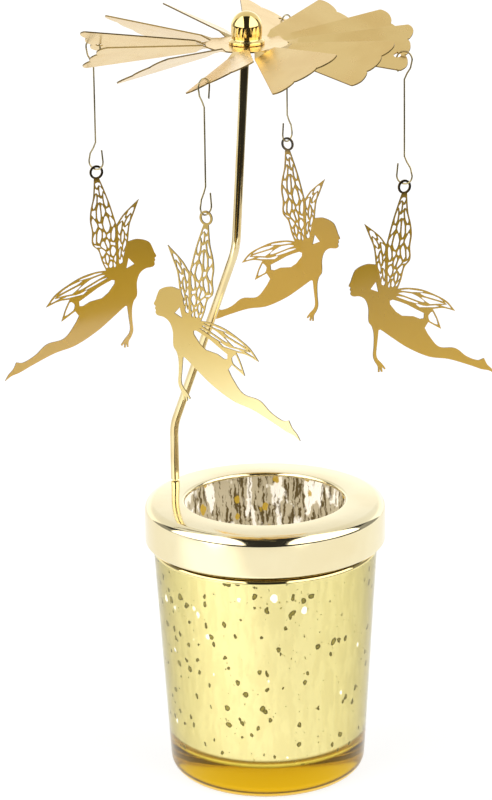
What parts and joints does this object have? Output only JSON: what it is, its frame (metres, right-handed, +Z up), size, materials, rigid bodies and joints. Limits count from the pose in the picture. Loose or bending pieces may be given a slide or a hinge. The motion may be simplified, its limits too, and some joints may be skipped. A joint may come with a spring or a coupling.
{
  "type": "votive candle holder",
  "caption": "Mercury-glass votive cup with a gold rim cap, a bent post and a heat-driven fan on a needle point that carries hanging sheet-metal fairies.",
  "frame": {"origin": "centre of the glass cup's flat base", "axes": "+Z up along the cup's axis; -Y towards the viewer in the picture, +X to the viewer's right"},
  "size_m": [0.1342, 0.1118, 0.2159],
  "materials": {
    "mercury_glass": "gold-tinted glass, silvered inside with open flecks",
    "polished_gold": "plated steel, polished pale gold",
    "mirror_sheet": "plated sheet steel, mirror gold",
    "hook_wire": "plated steel wire",
    "satin_gold": "plated sheet steel, satin gold"
  },
  "bodies": {
    "cup": {"glass_cup": "mercury_glass"},
    "cap": {"rim_cap": "polished_gold", "bent_post": "polished_gold"},
    "fan": {"fan_wheel": "mirror_sheet", "pivot_dome": "polished_gold"},
    "right_hook": {"hook_right": "hook_wire"},
    "front_hook": {"hook_front": "hook_wire"},
    "left_hook": {"hook_left": "hook_wire"},
    "back_hook": {"hook_back": "hook_wire"},
    "right_charm": {"charm_right": "satin_gold"},
    "front_charm": {"charm_front": "satin_gold"},
    "left_charm": {"charm_left": "satin_gold"},
    "back_charm": {"charm_back": "satin_gold"}
  },
  "joints": [
    {"name": "cap_lift", "type": "slide", "parent": "cup", "child": "cap", "axis": [0, 0, 1], "range_m": [0, 0.03]},
    {"name": "fan_spin", "type": "hinge", "parent": "cap", "child": "fan", "pos_m": [-0.0033, 0, 0.2069], "axis": [0, 0, 1], "continuous": true},
    {"name": "right_hook_swing", "type": "hinge", "parent": "fan", "child": "right_hook", "pos_m": [0.03761, -0.01031, 0.2056], "axis": [-0.3057, -0.9521, 0], "range_deg": [-6, 15]},
    {"name": "front_hook_swing", "type": "hinge", "parent": "fan", "child": "front_hook", "pos_m": [-0.01411, -0.04062, 0.2056], "axis": [-0.7431, 0.6691, 0], "range_deg": [-6, 15]},
    {"name": "left_hook_swing", "type": "hinge", "parent": "fan", "child": "left_hook", "pos_m": [-0.04415, 0.01045, 0.2056], "axis": [0.4067, 0.9135, 0], "range_deg": [-6, 15]},
    {"name": "back_hook_swing", "type": "hinge", "parent": "fan", "child": "back_hook", "pos_m": [0.00746, 0.04067, 0.2056], "axis": [0.7771, -0.6293, 0], "range_deg": [-6, 15]},
    {"name": "right_charm_swing", "type": "hinge", "parent": "right_hook", "child": "right_charm", "pos_m": [0.03811, -0.01047, 0.1708], "axis": [0.9521, -0.3057, 0], "range_deg": [-12, 12]},
    {"name": "front_charm_swing", "type": "hinge", "parent": "front_hook", "child": "front_charm", "pos_m": [-0.01446, -0.04101, 0.1708], "axis": [-0.6691, -0.7431, 0], "range_deg": [-12, 12]},
    {"name": "left_charm_swing", "type": "hinge", "parent": "left_hook", "child": "left_charm", "pos_m": [-0.04463, 0.01066, 0.1708], "axis": [-0.9135, 0.4067, 0], "range_deg": [-12, 12]},
    {"name": "back_charm_swing", "type": "hinge", "parent": "back_hook", "child": "back_charm", "pos_m": [0.00779, 0.04107, 0.1708], "axis": [0.6293, 0.7771, 0], "range_deg": [-12, 12]}
  ]
}
